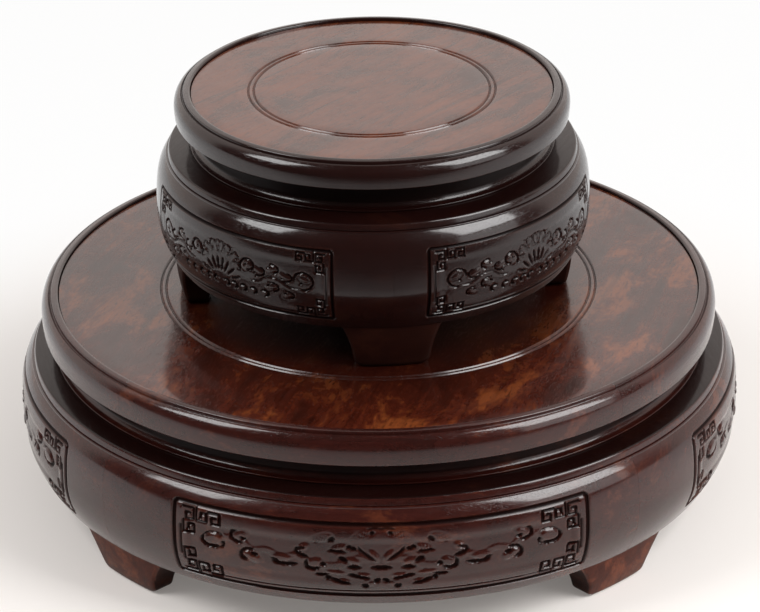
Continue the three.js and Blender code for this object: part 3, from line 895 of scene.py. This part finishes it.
class Relief:
    """Carving of one field on a grid: across and up are measured from the field's middle."""

    def __init__(self, stand, across, height):
        bottom = stand.apron_foot + stand.field_bottom_margin
        top = stand.apron_top - stand.field_top_margin
        self.half_width = math.radians(FIELD_HALF_ANGLE) * stand.belly_radius
        self.half_height = (top - bottom) / 2
        self.across, self.up = np.broadcast_arrays(across, height - (top + bottom) / 2)
        self.stand = stand
        self.size = stand.carving_size
        self.raised = np.zeros(self.across.shape)
        self.cut = np.zeros(self.across.shape)

    def around(self, points, margin):
        """The grid places near some points."""
        low = np.min(points, axis=0) - margin
        high = np.max(points, axis=0) + margin
        return np.nonzero((self.across > low[0]) & (self.across < high[0])
                          & (self.up > low[1]) & (self.up < high[1]))

    def from_line(self, line, margin):
        """Grid places near a line, their distances from it and how far along it they lie."""
        window = self.around(line, margin)
        spot = np.stack([self.across[window], self.up[window]], axis=-1)
        lengths = np.linalg.norm(np.diff(line, axis=0), axis=1)
        travelled = np.concatenate([[0], np.cumsum(lengths)])
        best = np.full(len(spot), np.inf)
        run = np.zeros(len(spot))
        for start, end, length, before in zip(line, line[1:], lengths, travelled):
            share = np.clip((spot - start) @ (end - start) / max(length ** 2, TINY), 0, 1)
            distance = np.linalg.norm(spot - start - share[:, None] * (end - start), axis=1)
            closer = distance < best
            best[closer] = distance[closer]
            run[closer] = before + share[closer] * length
        return window, best, run, travelled[-1]

    def turned(self, place, margin, turn, side):
        """Grid places near a spot, in axes along and across a direction."""
        spot = np.array(place, float) * (side, 1)
        window = self.around(spot[None, :], margin)
        angle = math.radians(turn)
        x = (self.across[window] - spot[0]) * side
        y = self.up[window] - spot[1]
        return window, x * math.cos(angle) + y * math.sin(angle), y * math.cos(angle) - x * math.sin(angle)

    def sink(self, window, depth):
        self.cut[window] = np.maximum(self.cut[window], depth)

    def lift(self, window, share):
        self.raised[window] = np.maximum(self.raised[window], share)

    def groove(self, side, width, depth, points, straight=False):
        """Round-bottomed groove, whose ends run out unless it is straight."""
        line = np.array(points, float) if straight else smooth_line(points)
        line = line * (side, 1)
        width *= 1 if straight else self.stand.stroke_widen
        window, distance, run, length = self.from_line(line, width)
        ends = np.minimum(run, length - run) / width
        taper = 1 if straight else np.clip(GROOVE_END + (1 - GROOVE_END) * ends, 0, 1)
        self.sink(window, depth * taper * np.sqrt(np.clip(1 - (distance / (width / 2 * taper)) ** 2, 0, 1)))

    def pit(self, side, place, length, width, depth, turn):
        """Oval hollow."""
        length *= self.stand.stroke_widen
        width *= self.stand.stroke_widen
        window, along, out = self.turned(place, max(length, width), turn, side)
        reach = (along / length * 2) ** 2 + (out / width * 2) ** 2
        self.sink(window, depth * np.sqrt(np.clip(1 - reach, 0, 1)))

    def lobe(self, side, place, length, width, turn, narrowing, hatched=False):
        """Raised leaf that narrows towards one end, with fine cuts across it if it is hatched."""
        window, along, out = self.turned(place, max(length, width), turn, side)
        half_length = length / 2
        half = width / 2 * np.clip(1 - narrowing * along / half_length, *LOBE_NARROWING)
        reach = np.sqrt((along / half_length) ** 2 + (out / half) ** 2)
        rise = smooth_step((1 - reach) * width / 2 / LOBE_EDGE)
        self.lift(window, rise * (1 - LOBE_CROWN * np.clip(reach, 0, 1) ** 2))
        edge = (reach - OUTLINE_REACH) * width / 2
        self.sink(window, self.stand.lobe_outline * np.clip(1 - (edge / OUTLINE_WIDTH) ** 2, 0, 1))
        if hatched:
            waves = 0.5 + 0.5 * np.cos(2 * math.pi * (along + HATCH_SLANT * out) / HATCH_SPACING)
            self.sink(window, HATCH_DEPTH * waves ** 2 * smooth_step((HATCH_END - reach) * HATCH_FADE))

    def stem(self, side, width, points):
        """Raised stem."""
        line = smooth_line(points) * (side, 1)
        width *= STEM_WIDEN
        window, distance, _, _ = self.from_line(line, width)
        self.lift(window, STEM_RISE * smooth_step((1 - distance / width * 2) * STEM_EDGE))

    def scroll(self, side, x, y, size, rise):
        """Small hooked scroll with a pit in its eye."""
        def spot(across, up):
            return x + across * size, y + up * size * rise
        self.lobe(side, spot(-1.2, 0.8), 9.5 * size, 4.4 * size, -24 * rise, 0.35)
        hook = [spot(0.4, 3.0), spot(3.0, 1.6), spot(3.0, -0.8), spot(0.4, -2.4), spot(-2.8, -2.6)]
        self.groove(side, 1.2 * size, 0.95, hook)
        self.pit(side, spot(-2.6, -0.4), 2.4 * size, 1.3 * size, 1.0, 20)

    def carve(self, crest, leaves, stems, cuts, pits, scrolls):
        """The field's leaves, stems and scrolls, with the cuts and pits between them, on both sides."""
        for side in (-1, 1):
            for leaf in crest:
                self.lobe(side, *leaf, hatched=True)
            for leaf in leaves:
                self.lobe(side, *leaf)
            for width, *points in stems:
                self.stem(side, width, points)
            for width, depth, *points in cuts:
                self.groove(side, width, depth, points)
            for hollow in pits:
                self.pit(side, *hollow)
            for scroll in scrolls:
                self.scroll(side, *scroll)

    def frets(self):
        """Key fret of squared hooks in each corner of the field."""
        corner = np.array([self.half_width, self.half_height])
        for side, rise in ((-1, -1), (-1, 1), (1, -1), (1, 1)):
            for step, flip in FRET_HOOKS:
                hook = HOOK_LINE[:, ::-1] if flip else HOOK_LINE
                line = corner - (FRET_INSET + np.array(step) + hook * HOOK_SIZE) * self.size
                self.groove(side, HOOK_CUT_WIDTH * self.size, HOOK_CUT_DEPTH * self.size,
                            line * (1, rise), straight=True)

    def frame_distance(self, inset, rounding):
        """Distance from a rounded frame inside the field's edge, negative inside it."""
        out_x = np.abs(self.across) - (self.half_width - inset - rounding)
        out_y = np.abs(self.up) - (self.half_height - inset - rounding)
        outside = np.hypot(np.maximum(out_x, 0), np.maximum(out_y, 0))
        return outside + np.minimum(np.maximum(out_x, out_y), 0) - rounding

    def border(self):
        """Groove round the field, with a fine line inside it at the foot and between the frets."""
        half = BORDER_WIDTH * self.size / 2
        edge = self.frame_distance(half, BORDER_ROUNDING * self.size ** 2)
        fall = BORDER_DEPTH * self.size * np.sqrt(np.clip(1 - (edge / half) ** 2, 0, 1))
        self.cut = np.maximum(self.cut, fall)
        foot = -self.half_height + FOOT_LINE_INSET * self.size
        reach = self.half_width - SIDE_LINE_INSET * self.size
        self.groove(1, FINE_LINE_WIDTH, FINE_LINE_DEPTH, [(-reach, foot), (reach, foot)], straight=True)
        limit = self.half_height - FRET_HEIGHT * self.size
        for side in (-1, 1):
            self.groove(side, SIDE_LINE_WIDTH * self.size, SIDE_LINE_DEPTH * self.size,
                        [(reach, limit), (reach, -limit)], straight=True)

    def ground(self):
        """Share of the slope from the field's edge down to its lowered ground."""
        return smooth_step(-self.frame_distance(GROUND_INSET * self.size, BORDER_ROUNDING) / GROUND_SLOPE)

    def height(self):
        """Height of the carved surface above the belly, which no part of it passes."""
        marks = np.abs(np.random.default_rng(TOOL_MARK_SEED).normal(0, TOOL_MARK_DEPTH, self.cut.shape))
        return -(self.stand.ground_depth * (1 - self.raised) + marks) * self.ground() - self.cut

    def shade(self):
        """Painted shade: 1 in the cuts and a little on the lowered ground."""
        lowered = self.ground() * (1 - self.raised)
        return np.maximum(smooth_step(self.cut / FULL_SHADE_CUT), GROUND_SHADE * lowered)


def edges_of(height):
    """How far each place of a height grid stands out of its surroundings."""
    width = 2 * WEAR_REACH + 1
    padded = np.pad(height, WEAR_REACH, mode="edge")
    around = np.lib.stride_tricks.sliding_window_view(padded, (width, width))
    return height - around.mean(axis=(2, 3))


def make_aprons(stand):
    """Four quarters of the belly between the seams at the feet, each carved with the same field."""
    outline, on_belly = apron_outline(stand)
    seam = stand.foot_turn - stand.field_turn - PLAN_STEP
    field_edge = FIELD_HALF_ANGLE + FIELD_MARGIN
    ease = math.degrees(SEAM_EASE / stand.belly_radius)
    fine_columns = round(2 * field_edge / math.degrees(CARVE_STEP / stand.belly_radius))
    turns = np.concatenate([
        [seam],
        np.linspace(seam + ease, -field_edge, PLAIN_COLUMNS + 1)[:-1],
        np.linspace(-field_edge, field_edge, fine_columns + 1),
        np.linspace(field_edge, seam + PLAN_STEP - ease, PLAIN_COLUMNS + 1)[1:],
        [seam + PLAN_STEP],
    ])
    relief = Relief(stand, np.radians(turns)[:, None] * stand.belly_radius, outline[on_belly, 1][None, :])
    relief.carve(*stand.field)
    relief.frets()
    relief.border()
    height = np.zeros((len(turns), len(outline)))
    # Painted shade in the carving's cuts and on its lowered ground
    recess = np.zeros(height.shape)
    height[:, on_belly] = relief.height()
    recess[:, on_belly] = relief.shade()
    wear = np.clip(edges_of(height) / WEAR_FULL, 0, 1)
    sections = np.repeat(outline[None], len(turns), axis=0)
    sections[[0, -1]] = shrunk(outline)
    sections[:, :, 0] += height
    for index in range(QUARTERS):
        field_turn = stand.field_turn + (index + 1) * PLAN_STEP
        middle = field_turn + seam + PLAN_STEP / 2
        loops = [place(stand, section, field_turn + turn, middle) for section, turn in zip(sections, turns)]
        label = f"{stand.name}_apron_segment_{index + 1}"
        add_piece(stand, label, loft(label, loops), "body_wood", middle + 90, wear, recess)


def foot_half_width(stand, rise, height):
    """Half the width of a foot at a rise above the floor: rounded low down, then splayed to its height."""
    low = (stand.foot_width + FOOT_CORNER) / 2
    high = stand.foot_top_width / 2
    if rise < FOOT_CORNER:
        fall = 1 - rise / FOOT_CORNER
        return low - FOOT_CORNER_REACH * FOOT_CORNER * (1 - math.sqrt(1 - fall ** 2))
    climb = (rise - FOOT_CORNER) / (height - FOOT_CORNER)
    middle = low + FOOT_FLARE * (high - low)
    return (1 - climb) ** 2 * low + 2 * climb * (1 - climb) * middle + climb ** 2 * high


def make_feet(stand):
    """Block feet that splay as they rise, with bowed fronts and edges eased at the floor."""
    height = stand.apron_foot - JOINT_GAP - stand.floor
    top_radius = stand.rim_radius + stand.apron_foot_overhang - FOOT_SETBACK
    foot_radius = stand.rim_radius - stand.foot_inset
    sections = []
    shades = []
    for share in FOOT_SHARES:
        swell = FOOT_SWELL * 4 * share * (1 - share)
        floor_ease = FLOOR_EASE * max(0, 1 - share / FLOOR_EASE_SHARE) ** 2
        outer = foot_radius + (top_radius - foot_radius) * share + swell - floor_ease
        back = outer - FOOT_BOTTOM_DEPTH - (FOOT_TOP_DEPTH - FOOT_BOTTOM_DEPTH) * share
        half = foot_half_width(stand, share * height, height) - floor_ease * FLOOR_EASE_SIDES
        front = math.sqrt(outer ** 2 - half ** 2)
        section = eased([
            (-half, back, FOOT_BACK_EASE),
            (half, back, FOOT_BACK_EASE),
            (half, front, FOOT_FRONT_EASE),
            *[(half * bow, math.sqrt(outer ** 2 - (half * bow) ** 2)) for bow in FOOT_BOWS],
            (-half, front, FOOT_FRONT_EASE),
        ])
        sections.append(section)
        # Painted shade on the feet's sides and backs, and on their fronts where the stand's foot shade is
        # set
        shades.append(np.where(section[:, 1] > front - FOOT_FRONT_REACH, stand.foot_shade, FOOT_SIDE_SHADE))
    across, out = np.moveaxis(np.array(sections), 2, 0)
    up = np.broadcast_to((stand.floor + FOOT_SHARES * height)[:, None], out.shape)
    for index in range(QUARTERS):
        turn = stand.foot_turn + index * PLAN_STEP
        away_x, away_y = at(turn)
        x = out * away_x - across * away_y + stand.axis
        y = out * away_y + across * away_x
        label = f"{stand.name}_foot_{index + 1}"
        mesh = loft(label, np.stack([x, y, up], axis=2))
        add_piece(stand, label, mesh, "foot_wood", turn, recess=np.array(shades))


def dress_batten(stand):
    """The batten keeps its solid and gets its slot's wood."""
    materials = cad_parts[f"{stand.name}_batten"].data.materials
    materials.clear()
    materials.append(MATERIALS["hidden_wood"])


for tier in (LOWER, UPPER):
    make_panel(tier)
    make_segments(tier, "rim_segment", rim_outline(tier), tier.foot_turn)
    make_waist(tier)
    make_shoulders(tier)
    make_aprons(tier)
    make_feet(tier)
    dress_batten(tier)


def aimed(target, azimuth, elevation, distance):
    """Placement that looks at a target from a plan angle, an elevation and a distance."""
    turn = Matrix.Rotation(math.radians(azimuth), 4, "Z")
    tilt = Matrix.Rotation(math.radians(90 - elevation), 4, "X")
    return Matrix.Translation(target) @ turn @ tilt @ Matrix.Translation((0, 0, distance))


def make_camera():
    data = bpy.data.cameras.new("camera")
    data.lens = CAMERA_LENS
    data.sensor_width = SENSOR_WIDTH
    data.clip_end = CAMERA_REACH
    camera = new_object("camera", data)
    roll = Matrix.Rotation(math.radians(CAMERA_ROLL), 4, "Z")
    camera.matrix_world = aimed(CAMERA_TARGET, 0, CAMERA_PITCH, CAMERA_DISTANCE) @ roll
    bpy.context.scene.camera = camera


def make_floor():
    """Pale floor that keeps the shadow near the stand and turns white further out.

    In reflections it ends in the unlit side of the room at the front."""
    mesh = bpy.data.meshes.new("floor")
    corners = [(FLOOR_HALF * x, FLOOR_HALF * y, 0) for x, y in ((-1, -1), (1, -1), (1, 1), (-1, 1))]
    mesh.from_pydata(corners, [], [(0, 1, 2, 3)])
    floor = new_object("floor", mesh)
    material = bpy.data.materials.new("floor")
    material.use_nodes = True
    tree = material.node_tree
    tree.nodes.remove(tree.nodes["Principled BSDF"])
    make = Nodes(tree)
    spot = make.add("ShaderNodeNewGeometry", {}, "Position")
    away = make.add("ShaderNodeVectorMath", {0: spot}, "Value", operation="LENGTH")
    apart = make.ramp(away, *FLOOR_CLEARS)
    clear = make.times(make.span(apart, 0.0, 1.0, *FLOOR_CLEAR_SHARES), make.seen_by(*VIEW_RAYS))
    matt = make.add("ShaderNodeBsdfDiffuse", {"Color": (*FLOOR_COLOR, 1)}, "BSDF")
    glow = make.mix(apart, FLOOR_GLOW, WHITE)
    white = make.add("ShaderNodeEmission", {"Color": glow, "Strength": 1.0}, "Emission")
    both = make.add("ShaderNodeMixShader", {0: clear, 1: matt, 2: white}, "Shader")
    front = make.ramp(make.add("ShaderNodeSeparateXYZ", {0: spot}, "Y"), *FLOOR_DIMS)
    dim = make.times(front, make.seen_by("Is Glossy Ray"))
    room = make.add("ShaderNodeEmission", {"Color": (*WHITE, 1), "Strength": ROOM_LEVEL}, "Emission")
    ended = make.add("ShaderNodeMixShader", {0: dim, 1: both, 2: room}, "Shader")
    tree.links.new(ended, tree.nodes["Material Output"].inputs["Surface"])
    mesh.materials.append(material)


def make_lamp(name, azimuth, elevation, distance, size, radiance):
    """Soft rectangular lamp aimed at the stand from a plan angle and an elevation."""
    data = bpy.data.lights.new(name, "AREA")
    data.shape = "RECTANGLE"
    data.size, data.size_y = size
    data.energy = radiance * math.pi * size[0] * size[1]
    new_object(name, data).matrix_world = aimed(LAMP_TARGET, azimuth, elevation, distance)


def make_world():
    """White surroundings, with the unlit side of the room at the front."""
    world = bpy.data.worlds.new("studio")
    bpy.context.scene.world = world
    world.use_nodes = True
    tree = world.node_tree
    make = Nodes(tree)
    background = tree.nodes["Background"]
    direction = make.add("ShaderNodeTexCoord", {}, "Generated")
    front = make.ramp(make.add("ShaderNodeSeparateXYZ", {0: direction}, "Y"), *ROOM_FRONT)
    glossy = make.seen_by("Is Glossy Ray")
    level = make.span(make.times(front, glossy), 0.0, 1.0, 1.0, ROOM_LEVEL)
    strength = make.times(make.span(make.seen_by(*VIEW_RAYS), 0.0, 1.0, WORLD_LEVEL, 1.0), level)
    tree.links.new(make.mix(glossy, WHITE, ROOM_COLOR), background.inputs["Color"])
    tree.links.new(strength, background.inputs["Strength"])


make_camera()
make_floor()
make_world()
for lamp in LAMPS:
    make_lamp(*lamp)

bpy.context.scene.view_settings.view_transform = "Standard"
